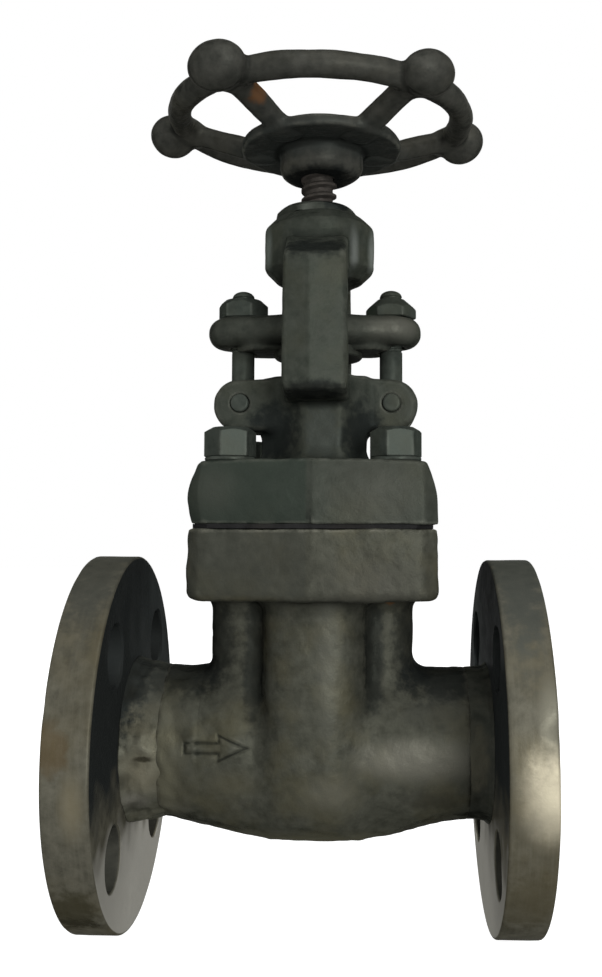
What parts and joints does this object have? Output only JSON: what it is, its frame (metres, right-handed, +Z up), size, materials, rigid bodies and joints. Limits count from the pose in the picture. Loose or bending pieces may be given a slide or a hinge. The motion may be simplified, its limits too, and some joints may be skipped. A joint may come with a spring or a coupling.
{
  "type": "flanged forged steel gate valve",
  "caption": "Small forged steel gate valve with end flanges, bolted bonnet, yoke with gland, and a knobbed handwheel that turns and lifts the stem and gate.",
  "frame": {"origin": "centre of the inlet flange's raised face, on the flow axis", "axes": "+X along the flow from inlet to outlet, +Z up the stem, -Y to the front"},
  "size_m": [0.12, 0.0995, 0.2269],
  "materials": {
    "forged_body": "black forging oxide, matt, with an olive cast on the front",
    "forged_bonnet": "black forging oxide, matt",
    "weld_metal": "rough weld bead, dull, with olive stains",
    "flange_steel": "turned steel, darkened and stained brown at the rims",
    "seat_steel": "ground steel",
    "gasket_graphite": "graphite, matt black",
    "bolt_steel": "black oxide, satin",
    "gland_steel": "black oxide, satin",
    "yoke_nut_steel": "black oxide, satin",
    "stem_steel": "turned steel thread, brown with old grease",
    "cast_wheel": "dark casting skin, satin, a touch of rust by one knob"
  },
  "bodies": {
    "root": {"body": "forged_body", "bonnet": "forged_bonnet", "inlet_weld": "weld_metal", "outlet_weld": "weld_metal", "inlet_flange": "flange_steel", "outlet_flange": "flange_steel", "inlet_seat": "seat_steel", "outlet_seat": "seat_steel", "bonnet_gasket": "gasket_graphite", "stem_packing": "gasket_graphite", "bonnet_bolt_1": "bolt_steel", "bonnet_bolt_2": "bolt_steel", "bonnet_bolt_3": "bolt_steel", "bonnet_bolt_4": "bolt_steel", "bonnet_washer_1": "bolt_steel", "bonnet_washer_2": "bolt_steel", "bonnet_washer_3": "bolt_steel", "bonnet_washer_4": "bolt_steel", "left_eyebolt": "bolt_steel", "right_eyebolt": "bolt_steel", "left_eyebolt_pin": "bolt_steel", "right_eyebolt_pin": "bolt_steel", "left_gland_nut": "bolt_steel", "right_gland_nut": "bolt_steel", "gland_follower": "gland_steel", "gland_flange": "gland_steel", "yoke_nut": "yoke_nut_steel"},
    "gate": {"gate": "seat_steel"},
    "stem_and_wheel": {"stem": "stem_steel", "handwheel": "cast_wheel", "handwheel_washer": "bolt_steel", "handwheel_nut": "bolt_steel"}
  },
  "joints": [
    {"name": "gate_lift", "type": "slide", "parent": "root", "child": "gate", "axis": [0, 0, 1], "range_m": [0, 0.021]},
    {"name": "wheel_turn", "type": "hinge", "parent": "gate", "child": "stem_and_wheel", "pos_m": [0.0618, 0, 0.154], "axis": [0, 0, 1], "range_deg": [0, 2520]}
  ],
  "couplings": [
    {"joint": "gate_lift", "follows": "wheel_turn", "m_per_rad": 0.00047746}
  ]
}
